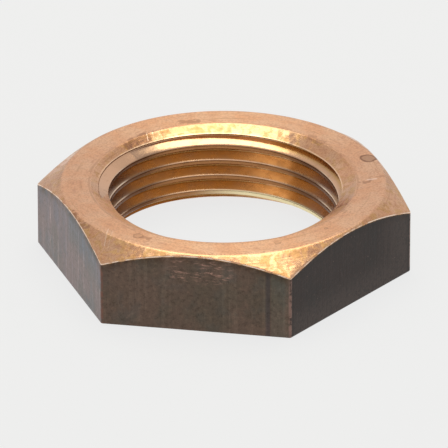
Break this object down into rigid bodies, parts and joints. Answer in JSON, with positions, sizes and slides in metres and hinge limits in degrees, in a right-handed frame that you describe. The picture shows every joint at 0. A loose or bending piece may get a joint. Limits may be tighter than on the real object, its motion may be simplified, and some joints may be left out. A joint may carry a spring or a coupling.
{
  "type": "hexagonal pipe locknut",
  "caption": "Thin one-piece hexagonal brass locknut with an internal pipe thread, a countersink at each end of the bore and a turned chamfer on one face.",
  "frame": {"origin": "centre of the flat bearing face, on the thread's axis", "axes": "+Z along the thread's axis, from the flat bearing face to the chamfered face; +X through a corner of the hexagon"},
  "size_m": [0.0404, 0.035, 0.0089],
  "materials": {
    "brass": "turned satin faces, dark drawn-bar flats"
  },
  "bodies": {
    "root": {"hex_locknut": "brass"}
  },
  "joints": []
}
